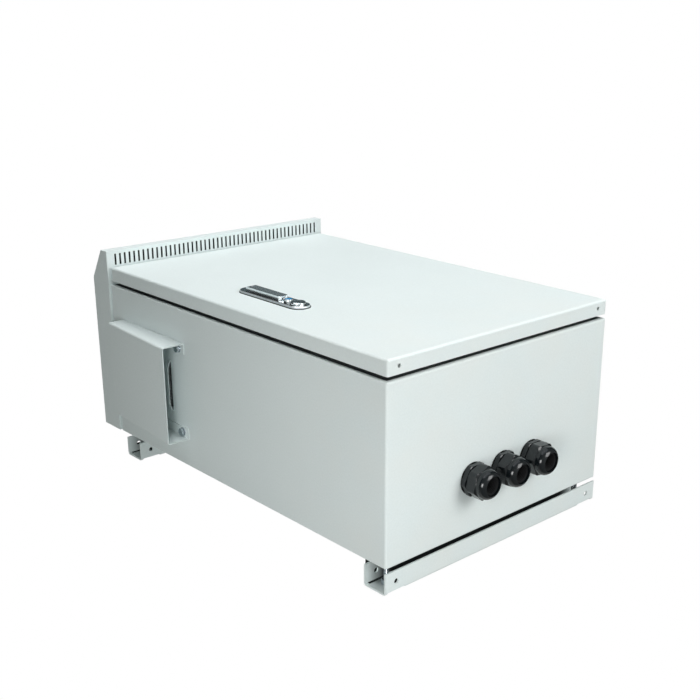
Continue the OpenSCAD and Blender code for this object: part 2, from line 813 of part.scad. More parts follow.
// A retaining ring behind a sleeve
module sleeve_clip(z, bore) {
    clip_y = door_face_y + sleeve_depth + seat_gap;
    color(zinc) from_base() difference() {
        rod_y(clip_y, clip_y + clip_t, lock_x, z, bore + 2 * clip_rim);
        rod_y(clip_y - eps, clip_y + clip_t + eps, lock_x, z, bore);
    }
}

module key_clip() {
    sleeve_clip(key_z, key_d);
}

module spindle_clip() {
    sleeve_clip(spindle_z, spindle_d);
}

module lever_hub() {
    disc_low = hub_seat + seat_gap;
    cam_y = door_face_y + cam_depth;
    half_square = spindle_square / 2;
    color(chrome) from_base() difference() {
        union() {
            rod_y(out_y(plate_top), out_y(disc_low), lock_x, spindle_z, hub_disc_d);
            rod_y(out_y(disc_low), cam_y, lock_x, spindle_z, spindle_d);
            block([lock_x - half_square, cam_y - eps, spindle_z - half_square],
                [lock_x + half_square, cam_y + cam_t, spindle_z + half_square]);
            block([lock_x - lug_w / 2, out_y(lever_pin_h), spindle_z - lever_t / 2],
                [lock_x + lug_w / 2, out_y(disc_low), spindle_z + lever_t / 2]);
            rod_x(lock_x - lug_w / 2, lock_x + lug_w / 2, out_y(lever_pin_h), spindle_z, lever_t);
        }
        rod_x(lock_x - lug_w, lock_x + lug_w, out_y(lever_pin_h), spindle_z, lever_pin_d + 2 * running_gap);
        rod_y(cam_y + cam_t - cam_screw_len - 1, cam_y + cam_t + eps, lock_x, spindle_z, m5 + 2 * stud_gap);
    }
}

// A flat lever with a fork round the hub's lug and bevelled corners beside the button
module lever() {
    slot_x = lug_w / 2 + lug_gap;
    top_y = out_y(lever_low + lever_t);
    low_y = out_y(lever_low);
    bevel = lever_w / 7;
    color(chrome) from_base() difference() {
        union() {
            rod_x(lock_x - lever_w / 2, lock_x + lever_w / 2, out_y(lever_pin_h), spindle_z, lever_t);
            block([lock_x - lever_w / 2, top_y, spindle_z - lever_len], [lock_x + lever_w / 2, low_y, spindle_z]);
        }
        block([lock_x - slot_x, top_y - eps, spindle_z - lever_t],
            [lock_x + slot_x, low_y + eps, spindle_z + lever_t]);
        rod_x(lock_x - lever_w, lock_x + lever_w, out_y(lever_pin_h), spindle_z, lever_pin_d);
        for (side = [-1, 1]) translate([lock_x + side * lever_w / 2, 0, spindle_z - lever_len])
            rotate([0, 45, 0]) block([-bevel, top_y - eps, -bevel], [bevel, low_y + eps, bevel]);
    }
}

module lever_pin() {
    color(zinc) from_base()
        rod_x(lock_x - lever_w / 2, lock_x + lever_w / 2, out_y(lever_pin_h), spindle_z, lever_pin_d);
}

module latch_cam() {
    half_square = spindle_square / 2 + stud_gap;
    color(zinc) from_base() difference() {
        extrude_y(door_face_y + cam_depth, door_face_y + cam_depth + cam_t)
            translate([lock_x, spindle_z + (cam_len - cam_w / 2) / 2]) rotate(90)
                slot_outline(cam_len + cam_w / 2, cam_w);
        block([lock_x - half_square, door_face_y + cam_depth - eps, spindle_z - half_square],
            [lock_x + half_square, door_face_y + cam_depth + cam_t + eps, spindle_z + half_square]);
    }
}

module cam_screw() {
    head_y = door_face_y + cam_depth + cam_t;
    color(zinc) from_base() {
        rod_y(head_y, head_y + washer_t, lock_x, spindle_z, cam_washer_d);
        hex_y(head_y + washer_t - eps, head_y + washer_t + m5_head, lock_x, spindle_z, m5_hex);
        rod_y(head_y - cam_screw_len, head_y + eps, lock_x, spindle_z, m5);
    }
}

// Vent cover: a lipped channel that leans towards the wall at its top and is open at both ends
module cover_channel(inset, r) {
    translate([-half_w - cover_out_low, 0, cover_z]) rotate([0, cover_lean, 0])
        translate([0, 0, -cover_len]) linear_extrude(3 * cover_len)
            rounded_rect([inset, cover_y0 + inset], [2 * cover_out_low, cover_y1 - inset], r);
}

module vent_cover() {
    far = cover_out_low + eps;
    color(coat) from_base() difference() {
        union() {
            intersection() {
                difference() {
                    cover_channel(0, bend_r);
                    cover_channel(sheet, bend_r - sheet);
                }
                block([-half_w - far, cover_y0 - eps, cover_z], [-half_w, cover_y1 + eps, cover_z + cover_len]);
            }
            for (y0 = [cover_y0, cover_y1 - cover_lip])
                block([-half_w - sheet, y0, cover_z], [-half_w, y0 + cover_lip, cover_z + cover_len]);
        }
        for (y = cover_bolt_ys, z = cover_bolt_zs)
            rod_x(-half_w - sheet - eps, -half_w + eps, y, z, m6 + 2 * fit);
    }
}

module vent_cover_bolts() {
    seat_x = -half_w - sheet - washer_t;
    color(zinc) from_base() for (y = cover_bolt_ys, z = cover_bolt_zs) {
        hex_x(seat_x - m6_head, seat_x, y, z, m6_hex);
        rod_x(seat_x, -inner_half + mesh_t + m6_nut + thread_spare, y, z, m6);
    }
}

module vent_cover_washers() {
    seat_x = -half_w - sheet - washer_t;
    color(zinc) from_base() for (y = cover_bolt_ys, z = cover_bolt_zs) difference() {
        rod_x(seat_x, seat_x + washer_t, y, z, washer_d - 1);
        rod_x(seat_x - eps, seat_x + washer_t + eps, y, z, m6 + 2 * fit);
    }
}

module vent_cover_nuts() {
    seat_x = -inner_half + mesh_t;
    color(zinc) from_base() for (y = cover_bolt_ys, z = cover_bolt_zs) difference() {
        hex_x(seat_x, seat_x + m6_nut, y, z, m6_hex);
        rod_x(seat_x - eps, seat_x + m6_nut + eps, y, z, m6 + 2 * fit);
    }
}

// Insect mesh panel behind the louvres, clamped by the cover's bolts
module vent_mesh() {
    window_h = (louvre_count - 1) * louvre_pitch + louvre_h;
    rows = floor(window_h / mesh_pitch);
    columns = floor(louvre_len / mesh_pitch);
    gap = mesh_pitch - mesh_wire;
    low = [cover_bolt_ys[0] - mesh_margin, cover_bolt_zs[0] - mesh_margin];
    high = [cover_bolt_ys[1] + mesh_margin, cover_bolt_zs[1] + mesh_margin];
    color(zinc) from_base() extrude_x(-inner_half, -inner_half + mesh_t) difference() {
        translate(low) square(high - low);
        for (y = cover_bolt_ys, z = cover_bolt_zs) translate([y, z]) circle(d = m6 + 2 * fit);
        for (column = [0 : columns - 1], row = [0 : rows - 1])
            translate([louvre_y + (column - (columns - 1) / 2) * mesh_pitch,
                louvre_zs[0] + (row + 0.5) * mesh_pitch]) square(gap, center = true);
    }
}

// Cable glands
module gland_washers() {
    color(rubber) from_base() for (x = gland_xs) difference() {
        rod_z(-gland_washer_t, 0, x, gland_cy, gland_washer_d);
        rod_z(-gland_washer_t - eps, eps, x, gland_cy, gland_thread_d + 2 * fit);
    }
}

module gland_bodies() {
    thread_top = sheet + locknut_t + thread_spare;
    color(plastic) from_base() for (x = gland_xs) difference() {
        union() {
            hex_z(flange_z, -gland_washer_t, x, gland_cy, gland_hex);
            rod_z(-gland_washer_t, thread_top, x, gland_cy, gland_thread_d);
            rod_z(neck_end_z, flange_z, x, gland_cy, gland_neck_d);
        }
        rod_z(neck_end_z - eps, thread_top + eps, x, gland_cy, gland_bore_d);
    }
}

// The rubber seal that closes on the cable
module gland_inserts() {
    color(rubber) from_base() for (x = gland_xs) difference() {
        rod_z(insert_end_z, neck_end_z + 8, x, gland_cy, gland_bore_d - 2 * fit);
        rod_z(insert_end_z - eps, neck_end_z + 8 + eps, x, gland_cy, cable_d);
    }
}

module gland_dome_nuts() {
    dome_r = dome_len - 2;
    color(plastic) from_base() for (x = gland_xs) difference() {
        union() {
            hex_z(dome_mid_z, dome_top_z, x, gland_cy, gland_hex);
            translate([x, gland_cy, dome_mid_z]) mirror([0, 0, 1]) rotate_extrude() {
                square([dome_d / 2, dome_len - dome_r]);
                square([dome_d / 2 - dome_r, dome_len]);
                intersection() {
                    translate([dome_d / 2 - dome_r, dome_len - dome_r]) circle(dome_r);
                    square([dome_d / 2, dome_len]);
                }
            }
        }
        rod_z(neck_end_z - 2, dome_top_z + eps, x, gland_cy, gland_neck_d + 2 * fit);
        rod_z(dome_end_z - eps, neck_end_z, x, gland_cy, gland_bore_d);
    }
}

module gland_locknuts() {
    color(plastic) from_base() for (x = gland_xs) difference() {
        hex_z(sheet, sheet + locknut_t, x, gland_cy, gland_hex + 6);
        rod_z(sheet - eps, sheet + locknut_t + eps, x, gland_cy, gland_thread_d + 2 * fit);
    }
}

// Rear rails
module rail(z0) {
    hole_y = back_y + rail_gap + 14;
    stud_z = z0 + rail_h / 2;
    color(coat) from_base() difference() {
        extrude_x(-half_w, half_w) translate([0, z0]) difference() {
            intersection() {
                rounded_rect([-2 * rail_d, 0], [0, rail_h], bend_r + 1);
                translate([-rail_d, 0]) square([rail_d, rail_h]);
            }
            translate([-rail_d - eps, rail_t]) square([rail_d + eps - rail_t, rail_h - 2 * rail_t]);
        }
        for (side = [-1, 1]) {
            rod_z(z0 - eps, z0 + rail_h + eps, side * (half_w - flange_hole_end), hole_y, flange_hole_d);
            extrude_y(-rail_t - eps, eps) translate([side * (half_w - slot_end), stud_z])
                slot_outline(wall_slot_len, wall_slot_w);
            rod_y(-rail_t - eps, eps, side * (half_w - stud_end), stud_z, m8 + 2 * stud_gap);
            rod_y(-stud_head_t, eps, side * (half_w - stud_end), stud_z, stud_head_d + 2 * stud_gap);
            translate([side * (half_w - notch_end - notch_len / 2), 0, z0]) for (fold = [0, rail_h])
                block([-notch_len / 2, -notch_flange, fold - notch_web], [notch_len / 2, eps, fold + notch_web]);
        }
    }
}

module lower_rail() {
    rail(0);
}

module upper_rail() {
    rail(upper_rail_z);
}

// Studs pressed flush into the rails' webs, through to the rear panel
module rail_studs() {
    color(zinc) from_base() for (x = stud_xs, z = rail_mid_zs) {
        rod_y(-stud_head_t, 0, x, z, stud_head_d);
        rod_y(rail_stud_in_y, -stud_head_t, x, z, m8);
    }
}

// A nut on the web and one on each side of the rear panel
module rail_nuts() {
    seats = [-rail_t - m8_nut, panel_out_y, panel_in_y - m8_nut];
    color(zinc) from_base() for (x = stud_xs, z = rail_mid_zs, y = seats) difference() {
        hex_y(y, y + m8_nut, x, z, m8_hex);
        rod_y(y - eps, y + m8_nut + eps, x, z, m8 + 2 * fit);
    }
}

// Inside
module mounting_plate() {
    color("#cdd3d6") from_base() difference() {
        block([-plate_half, plate_y - plate_t, plate_end], [plate_half, plate_y, body_h - plate_end]);
        for (x = plate_stud_xs, z = plate_stud_zs)
            rod_y(plate_y - plate_t - eps, plate_y + eps, x, z, m8 + 2 * fit);
    }
}

module plate_studs() {
    color(zinc) from_base() for (x = plate_stud_xs, z = plate_stud_zs) {
        rod_y(panel_out_y - stud_head_t, panel_out_y, x, z, stud_head_d);
        rod_y(plate_stud_in_y, panel_out_y - stud_head_t, x, z, m8);
    }
}

// A nut behind and in front of the plate on each stud
module plate_nuts() {
    color(zinc) from_base() for (x = plate_stud_xs, z = plate_stud_zs, y = [plate_y, plate_y - plate_t - m8_nut])
        difference() {
            hex_y(y, y + m8_nut, x, z, m8_hex);
            rod_y(y - eps, y + m8_nut + eps, x, z, m8 + 2 * fit);
        }
}

// A stud welded to the inside of the wall, with a nut on each side of the place for a cable lug
module earth_stud() {
    color("#b98d4a") from_base() {
        rod_x(-inner_half, -inner_half + earth_foot_t, front_y + earth_y, earth_z, washer_d);
        rod_x(-inner_half, earth_nut_xs[1] + m6_nut + thread_spare, front_y + earth_y, earth_z, m6);
    }
}

module earth_nuts() {
    color(zinc) from_base() for (x = earth_nut_xs) difference() {
        hex_x(x, x + m6_nut, front_y + earth_y, earth_z, m6_hex);
        rod_x(x - eps, x + m6_nut + eps, front_y + earth_y, earth_z, m6 + 2 * fit);
    }
}

body_wrap();
rear_panel();
roof_hood();
roof_bolts();
roof_nuts();
door_panel();
door_stiffener();
door_gasket();
hinge_body_leaves();
hinge_door_leaves();
hinge_pins();
lock_gasket();
lock_plate();
key_barrel();
lock_nuts();
lock_button();
button_case_cap();
key_plug();
key_clip();
lever_hub();
spindle_clip();
lever();
lever_pin();
latch_cam();
cam_screw();
vent_cover();
vent_cover_bolts();
vent_cover_washers();
vent_cover_nuts();
vent_mesh();
gland_washers();
gland_bodies();
gland_inserts();
gland_dome_nuts();
gland_locknuts();
lower_rail();
upper_rail();
rail_studs();
rail_nuts();
mounting_plate();
plate_studs();
plate_nuts();
earth_stud();
earth_nuts();
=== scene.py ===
import math

import bmesh
import bpy
from mathutils import Matrix, Vector


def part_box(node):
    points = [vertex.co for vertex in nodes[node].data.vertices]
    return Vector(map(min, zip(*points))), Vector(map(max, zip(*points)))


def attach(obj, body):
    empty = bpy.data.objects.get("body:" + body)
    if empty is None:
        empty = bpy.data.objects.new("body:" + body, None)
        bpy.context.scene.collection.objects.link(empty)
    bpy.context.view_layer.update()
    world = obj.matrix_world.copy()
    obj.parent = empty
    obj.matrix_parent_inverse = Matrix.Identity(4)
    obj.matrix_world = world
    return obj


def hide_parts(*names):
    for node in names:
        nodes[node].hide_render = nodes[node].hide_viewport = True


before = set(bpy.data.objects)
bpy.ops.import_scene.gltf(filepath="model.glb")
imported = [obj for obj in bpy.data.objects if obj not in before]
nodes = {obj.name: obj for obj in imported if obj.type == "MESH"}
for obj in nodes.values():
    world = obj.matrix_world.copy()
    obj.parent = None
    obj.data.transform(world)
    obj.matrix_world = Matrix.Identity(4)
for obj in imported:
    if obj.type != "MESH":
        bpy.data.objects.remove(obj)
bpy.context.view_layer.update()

scene = bpy.context.scene
scene.view_settings.view_transform = "Standard"

# Camera
# It looks at the cabinet from below and from the left of its door, with the door's normal towards
# the picture's top, as the photograph shows it. Lens and centre come from a fit to marked corners.
picture_px = 700
focal_px = 1081.19
centre_px = (394.41, 384.21)
camera_place = Vector((-0.96429, -0.65325, -1.11251))
camera_right = Vector((0.72824, -0.00811, -0.68527))
camera_down = Vector((-0.2187, 0.9449, -0.2436))
camera_forward = Vector((0.64948, 0.32727, 0.68634))

camera_data = bpy.data.cameras.new("camera")
camera_data.sensor_width = 36
camera_data.lens = focal_px / picture_px * camera_data.sensor_width
camera_data.shift_x = (picture_px / 2 - centre_px[0]) / picture_px
camera_data.shift_y = (centre_px[1] - picture_px / 2) / picture_px
camera_data.clip_start = 0.05
camera_data.clip_end = 60
camera = bpy.data.objects.new("camera", camera_data)
camera_turn = Matrix((camera_right, -camera_down, -camera_forward)).transposed().to_4x4()
camera.matrix_world = Matrix.Translation(camera_place) @ camera_turn
scene.collection.objects.link(camera)
scene.camera = camera


# Studio
# A surround that is white to the camera and lights softly, most of all from behind the cabinet, lamps
# before the door, below and beside the vented wall, a pale floor well below the cabinet, a dark and a
# white card that only reflections see, and dark sheets of painted shade behind the rails' holes.
class Wire:
    """A shader socket that takes part in sums, with a method that adds a node behind it."""

    def __init__(self, tree, socket=None):
        self.tree = tree
        self.socket = socket

    def add(self, kind, settings=None, inputs=None, output=0):
        node = self.tree.nodes.new(kind)
        for name, value in (settings or {}).items():
            setattr(node, name, value)
        for key, value in (inputs or {}).items():
            if isinstance(value, Wire):
                self.tree.links.new(value.socket, node.inputs[key])
            else:
                node.inputs[key].default_value = value
        return Wire(self.tree, node.outputs[output])

    def math(self, operation, first, second):
        return self.add("ShaderNodeMath", {"operation": operation}, {0: first, 1: second})

    def __add__(self, other):
        return self.math("ADD", self, other)

    def __radd__(self, other):
        return self.math("ADD", other, self)

    def __sub__(self, other):
        return self.math("SUBTRACT", self, other)

    def __rsub__(self, other):
        return self.math("SUBTRACT", other, self)

    def __mul__(self, other):
        return self.math("MULTIPLY", self, other)

    def __rmul__(self, other):
        return self.math("MULTIPLY", other, self)

    def __truediv__(self, other):
        return self.math("DIVIDE", self, other)

    def between(self, low, high):
        """0 below low, 1 above high and even between them."""
        ends = {0: self, 1: low, 2: high, 3: 0.0, 4: 1.0}
        return self.add("ShaderNodeMapRange", {"clamp": True}, ends)

    def blend(self, first, second):
        """A colour between two, with this socket as the share of the second."""
        return self.add("ShaderNodeMix", {"data_type": "RGBA"}, {0: self, 6: first, 7: second}, 2)

    def feed(self, socket):
        self.tree.links.new(self.socket, socket)


def shown(tree):
    """1 for the camera's own rays."""
    return Wire(tree, tree.nodes.new("ShaderNodeLightPath").outputs["Is Camera Ray"])


fill = 0.05
bounce = 0.6175
bounce_tone = (0.95, 0.98, 0.94, 1)
white = (1, 1, 1, 1)
world = bpy.data.worlds.new("surround")
scene.world = world
world.use_nodes = True
world_tree = world.node_tree
surround = world_tree.nodes["Background"]
way = Wire(world_tree).add("ShaderNodeTexCoord", None, None, "Object")
way_back = way.add("ShaderNodeSeparateXYZ", None, {0: way}, 1)
glow = fill + bounce * way_back.between(-0.1, 0.9)
seen = shown(world_tree)
seen.blend(bounce_tone, white).feed(surround.inputs["Color"])
(glow + (1 - glow) * seen).feed(surround.inputs["Strength"])


def lamp(name, place, target, power, width, height, spread):
    light = bpy.data.lights.new(name, "AREA")
    light.energy = power
    light.shape = "RECTANGLE"
    light.size = width
    light.size_y = height
    light.spread = math.radians(spread)
    holder = bpy.data.objects.new(name, light)
    aim = (Vector(target) - Vector(place)).to_track_quat("-Z", "Y").to_matrix().to_4x4()
    holder.matrix_world = Matrix.Translation(place) @ aim
    holder.visible_camera = False
    scene.collection.objects.link(holder)


lamp("door_lamp", (-0.2, -2.5, -0.3), (0, -0.25, 0), 26.5, 2.0, 0.45, 180)
lamp("roof_lamp", (0.3, -2.2, 0.9), (0, -0.25, 0.1), 19.65, 1.0, 1.0, 180)
lamp("bottom_lamp", (0.4, -0.9, -1.7), (0, -0.15, -0.29), 17.32, 1.0, 1.0, 180)
lamp("side_lamp", (-1.2, -0.25, -0.9), (-0.2, -0.10, -0.20), 0.9209, 0.5, 0.5, 55)


def stage_plane(name, corners, material):
    mesh = bpy.data.meshes.new(name)
    mesh.from_pydata(corners, [], [tuple(range(len(corners)))])
    mesh.materials.append(material)
    plane = bpy.data.objects.new(name, mesh)
    scene.collection.objects.link(plane)
    return plane


floor_z = -1.9
floor_half = 9.0
floor_finish = bpy.data.materials.new("pale_floor")
floor_finish.use_nodes = True
floor_tree = floor_finish.node_tree
floor_paint = floor_tree.nodes["Principled BSDF"]
floor_paint.inputs["Base Color"].default_value = (0.82, 0.82, 0.82, 1)
floor_paint.inputs["Roughness"].default_value = 0.8
floor_glow = Wire(floor_tree).add("ShaderNodeEmission", None, {"Color": white, "Strength": 1.0})
floor_mix = floor_glow.add("ShaderNodeMixShader", None,
    {0: shown(floor_tree), 1: Wire(floor_tree, floor_paint.outputs["BSDF"]), 2: floor_glow})
floor_mix.feed(floor_tree.nodes["Material Output"].inputs["Surface"])
stage_plane("floor", [(-floor_half, -floor_half, floor_z), (floor_half, -floor_half, floor_z),
    (floor_half, floor_half, floor_z), (-floor_half, floor_half, floor_z)], floor_finish)

card_away = Vector((0.60, -0.40, 0.69)).normalized()
card_middle = card_away * 2.6
card_side = card_away.cross(Vector((0, 1, 0))).normalized() * 1.7
card_up = card_away.cross(card_side).normalized() * 0.75


def card(name, corners, colour):
    """A card that only reflections see."""
    finish = bpy.data.materials.new(name)
    finish.use_nodes = True
    tree = finish.node_tree
    glow = Wire(tree).add("ShaderNodeEmission", None, {"Color": colour, "Strength": 1.0})
    glow.feed(tree.nodes["Material Output"].inputs["Surface"])
    plane = stage_plane(name, corners, finish)
    plane.visible_camera = False
    plane.visible_diffuse = False
    plane.visible_shadow = False


card("dark_card", [card_middle - card_side - card_up, card_middle + card_side - card_up,
    card_middle + card_side + card_up, card_middle - card_side + card_up], (0.09, 0.115, 0.12, 1))
card("white_card", [(-1.5, -2.4, -1.4), (1.3, -2.4, -1.4), (1.3, -2.4, 1.0), (-1.5, -2.4, 1.0)],
    (0.9, 0.95, 1, 1))


sheet_y = 0.001
sheet_end = -0.10


def shade(node, rise):
    """A dark sheet of painted shade behind a rail's left end, seen through its holes and from the front only.
    """
    low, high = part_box(node)
    edge = Vector((low[0], low[1], high[2])) - camera_place
    reach = camera_place + edge * (sheet_y - camera_place[1]) / edge[1]
    share = rise / (reach[2] - high[2])
    finish = bpy.data.materials.new(node + "_shade")
    finish.use_nodes = True
    tree = finish.node_tree
    dark = Wire(tree).add("ShaderNodeEmission", None, {"Color": (0.012, 0.014, 0.014, 1), "Strength": 1.0})
    clear = Wire(tree).add("ShaderNodeBsdfTransparent")
    behind = Wire(tree).add("ShaderNodeNewGeometry", None, None, "Backfacing")
    either = dark.add("ShaderNodeMixShader", None, {0: behind, 1: dark, 2: clear})
    either.feed(tree.nodes["Material Output"].inputs["Surface"])
    left = low[0] + 0.0015
    inner = left + share * (reach[0] - left) + 0.003
    bottom = low[2] + 0.010
    top = high[2] + rise
    plane = stage_plane(node + "_shade", [(left, sheet_y, bottom), (sheet_end, sheet_y, bottom),
        (sheet_end, sheet_y, top), (inner, sheet_y, top), (left, sheet_y, high[2])], finish)
    plane.visible_diffuse = False
    plane.visible_glossy = False
    plane.visible_shadow = False


shade("lower_rail", 0.050)
shade("upper_rail", 0.034)


# Body and roof
# The body is one folded sheet with pressed louvres, the rear panel is welded in and the roof hood is
# bolted on. All are steel with a pale grey powder coat, which has a fine orange peel. Painted shade
# makes the coat nearly black inside the hood and on the body's flange behind the door's edge.
def new_finish(name):
    material = bpy.data.materials.new(name)
    material.use_nodes = True
    tree = material.node_tree
    place = Wire(tree).add("ShaderNodeTexCoord", None, None, "Object")
    return material, tree.nodes["Principled BSDF"].inputs, place


def cloud(place, scale, detail=2.0):
    return place.add("ShaderNodeTexNoise", None, {"Vector": place, "Scale": scale, "Detail": detail})


def relief(height, strength, distance):
    return height.add("ShaderNodeBump", None, {"Strength": strength, "Distance": distance, "Height": height})


def axis(place, number):
    return place.add("ShaderNodeSeparateXYZ", None, {0: place}, number)


def least(*depths):
    result = depths[0]
    for depth in depths[1:]:
        result = result.math("MINIMUM", result, depth)
    return result


coat_pale = (0.765, 0.842, 0.840, 1)
coat_deep = (0.722, 0.798, 0.796, 1)
coat_warm = (0.790, 0.800, 0.760, 1)
dark_tone = (0.022, 0.026, 0.027, 1)


def powder_coat(name, dark=None):
    """The cabinet's coat, made nearly black by painted shade where dark is 1."""
    material, inputs, place = new_finish(name)
    grain = cloud(place, 420.0, 1.0).between(0.3, 0.7)
    patch = cloud(place, 6.0).between(0.35, 0.65)
    tone = (0.6 * grain + 0.4 * patch).blend(coat_pale, coat_deep)
    dust = (0.0 - axis(place, 2)).between(0.02, 0.30) * cloud(place, 14.0, 4.0).between(0.30, 0.75)
    tone = (dust * 0.35).blend(tone, coat_warm)
    if dark:
        tone = dark(place).blend(tone, dark_tone)
    tone.feed(inputs["Base Color"])
    (0.46 + 0.12 * cloud(place, 30.0)).feed(inputs["Roughness"])
    inputs["Specular IOR Level"].default_value = 0.2
    relief(cloud(place, 380.0), 0.45, 0.0004).feed(inputs["Normal"])
    return material


hood_low, hood_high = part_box("roof_hood")
hood_height = 0.046
lip_height = 0.016
slope_run = 0.0485


def hood_inside(place):
    """1 on the hood's inside and in its slots, where painted shade darkens the coat, 0 on its outside."""
    x = axis(place, 0)
    y = axis(place, 1)
    z = axis(place, 2)
    soffit = hood_high[2] - hood_height
    rise = hood_height - lip_height
    across = rise * (y - hood_low[1]) - slope_run * (z - (soffit + lip_height))
    slope = across / math.hypot(slope_run, rise)
    depth = least(x - hood_low[0], hood_high[0] - x, y - hood_low[1], hood_high[1] - y,
        hood_high[2] - z, slope)
    return depth.between(0.0011, 0.0014) * (z - soffit).between(0.0003, 0.0006)


flange_y = -0.2663
flange_x = (-0.1976, 0.1976)
flange_z = (-0.2899, 0.3051)
gap_shade_edge = 0.0022
gap_shade_width = 0.014


def flange_gap_shade(place):
    """1 on a band of painted shade on the flange behind the door's edge, where the door's gap is."""
    x = axis(place, 0)
    z = axis(place, 2)
    inset = least(x - flange_x[0], flange_x[1] - x, z - flange_z[0], flange_z[1] - z)
    band = inset.between(gap_shade_edge, gap_shade_edge + 0.0004) * (gap_shade_width - inset).between(0.0, 0.0004)
    return band * (flange_y + 0.0006 - axis(place, 1)).between(0.0, 0.0002)


def paint(material, *names):
    for name in names:
        for place in nodes[name].material_slots:
            place.material = material


coat = powder_coat("light_grey_coat")
paint(coat, "rear_panel")
paint(powder_coat("body_coat", flange_gap_shade), "body_wrap")
paint(powder_coat("hood_coat", hood_inside), "roof_hood")


def metal(name, pale, deep, smooth, rough, scale, satin=None):
    """A bare metal, with a duller finish where satin is 1."""
    material, inputs, place = new_finish(name)
    tone = cloud(place, scale, 3.0).between(0.3, 0.7)
    tone.blend((*pale, 1), (*deep, 1)).feed(inputs["Base Color"])
    inputs["Metallic"].default_value = 1.0
    dullness = smooth + (rough - smooth) * cloud(place, scale * 2.3, 4.0)
    if satin:
        dullness = dullness + 0.4 * satin(place)
    dullness.feed(inputs["Roughness"])
    relief(cloud(place, scale * 9.0), 0.12, 0.0001).feed(inputs["Normal"])
    return material


zinc = metal("zinc_plate", (0.68, 0.73, 0.77), (0.52, 0.57, 0.62), 0.12, 0.30, 90.0)
paint(zinc, "roof_bolts", "roof_nuts")

# Door
# A folded tray of the same coated sheet with a welded stiffener, hung on two zinc-plated hinges.
# A soft black rubber foam seal is glued round its inside.
paint(coat, "door_panel", "door_stiffener")
paint(zinc, "hinge_body_leaves", "hinge_door_leaves", "hinge_pins")

rubber, rubber_inputs, rubber_place = new_finish("black_rubber")
rubber_tone = cloud(rubber_place, 40.0).blend((0.004, 0.0045, 0.005, 1), (0.008, 0.009, 0.0095, 1))
rubber_tone.feed(rubber_inputs["Base Color"])
(0.62 + 0.25 * cloud(rubber_place, 160.0)).feed(rubber_inputs["Roughness"])
rubber_inputs["Specular IOR Level"].default_value = 0.25
relief(cloud(rubber_place, 900.0), 0.3, 0.0002).feed(rubber_inputs["Normal"])


def shaded(form, limit):
    """Smooth faces, with the edges sharper than the limit kept as edges."""
    bmesh.ops.recalc_face_normals(form, faces=form.faces)
    for face in form.faces:
        face.smooth = True
    for edge in form.edges:
        edge.smooth = edge.calc_face_angle(0.0) < math.radians(limit)


def plain_mesh(form, name, material):
    mesh = bpy.data.meshes.new(name)
    form.to_mesh(mesh)
    form.free()
    mesh.materials.clear()
    mesh.materials.append(material)
    return mesh


def handed_in(mesh, name, body, slot, *replaced):
    piece = bpy.data.objects.new(name, mesh)
    scene.collection.objects.link(piece)
    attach(piece, body)
    if replaced:
        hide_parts(*replaced)
    return piece


def softened(node, width, material, body, slot):
    """A copy of a CAD piece with its sharp edges rounded over."""
    form = bmesh.new()
    form.from_mesh(nodes[node].data)
    bmesh.ops.remove_doubles(form, verts=form.verts, dist=1e-6)
    bmesh.ops.dissolve_limit(form, angle_limit=math.radians(1), verts=form.verts, edges=form.edges)
    shaded(form, 30)
    mesh = plain_mesh(form, node + "_form", material)
    if "custom_normal" in mesh.attributes:
        mesh.attributes.remove(mesh.attributes["custom_normal"])
    piece = handed_in(mesh, node + "_soft", body, slot, node)
    edge = piece.modifiers.new("round edges", "BEVEL")
    edge.width = width
    edge.segments = 3
    edge.limit_method = "ANGLE"
    edge.angle_limit = math.radians(30)
    edge.harden_normals = True
    return piece


softened("door_gasket", 0.0025, rubber, "door", "black_rubber")

# Lock
# A swing lever on a chrome plate with a rubber gasket under it. A blue button in a chrome ring
# frees the lever and a key turns in a chrome barrel. The latch behind the door is zinc-plated.
chrome = metal("chrome_plate", (0.80, 0.84, 0.85), (0.74, 0.79, 0.81), 0.06, 0.17, 60.0)
paint(rubber, "lock_gasket")
paint(chrome, "key_plug", "lever_hub")


def plate_edge(place):
    """1 on the plate's rounded edge, 0 on its flat front."""
    return (axis(place, 1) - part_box("lock_plate")[0][1]).between(0.0001, 0.0003)


plate_chrome = metal("plate_chrome", (0.80, 0.84, 0.85), (0.74, 0.79, 0.81), 0.06, 0.17, 60.0, plate_edge)
paint(plate_chrome, "lock_plate")
paint(zinc, "lock_nuts", "key_clip", "spindle_clip", "lever_pin", "latch_cam", "cam_screw")
brushed = metal("brushed_chrome", (0.80, 0.85, 0.86), (0.72, 0.78, 0.80), 0.20, 0.28, 60.0)
softened("lever", 0.0006, brushed, "lever", "chrome_plate")


def turned(profile, across=0.0, closed=True, segments=96):
    """A turned form from (radius, height) points in mm, held inside a hexagon when across is set."""
    form = bmesh.new()
    rings = []
    for radius, height in profile:
        ring = []
        for step in range(segments):
            angle = 2 * math.pi * step / segments
            reach = radius
            if across:
                reach = min(radius, across / 2 / math.cos(angle % (math.pi / 3) - math.pi / 6))
            corner = Vector((reach * math.cos(angle), reach * math.sin(angle), height))
            ring.append(form.verts.new(corner / 1000))
        rings.append(ring)
    followers = rings[1:] + rings[:1] if closed else rings[1:]
    for low, high in zip(rings, followers):
        for step in range(segments):
            after = (step + 1) % segments
            form.faces.new((low[step], low[after], high[after], high[step]))
    if not closed:
        form.faces.new(rings[0])
        form.faces.new(rings[-1])
    shaded(form, 25)
    return form


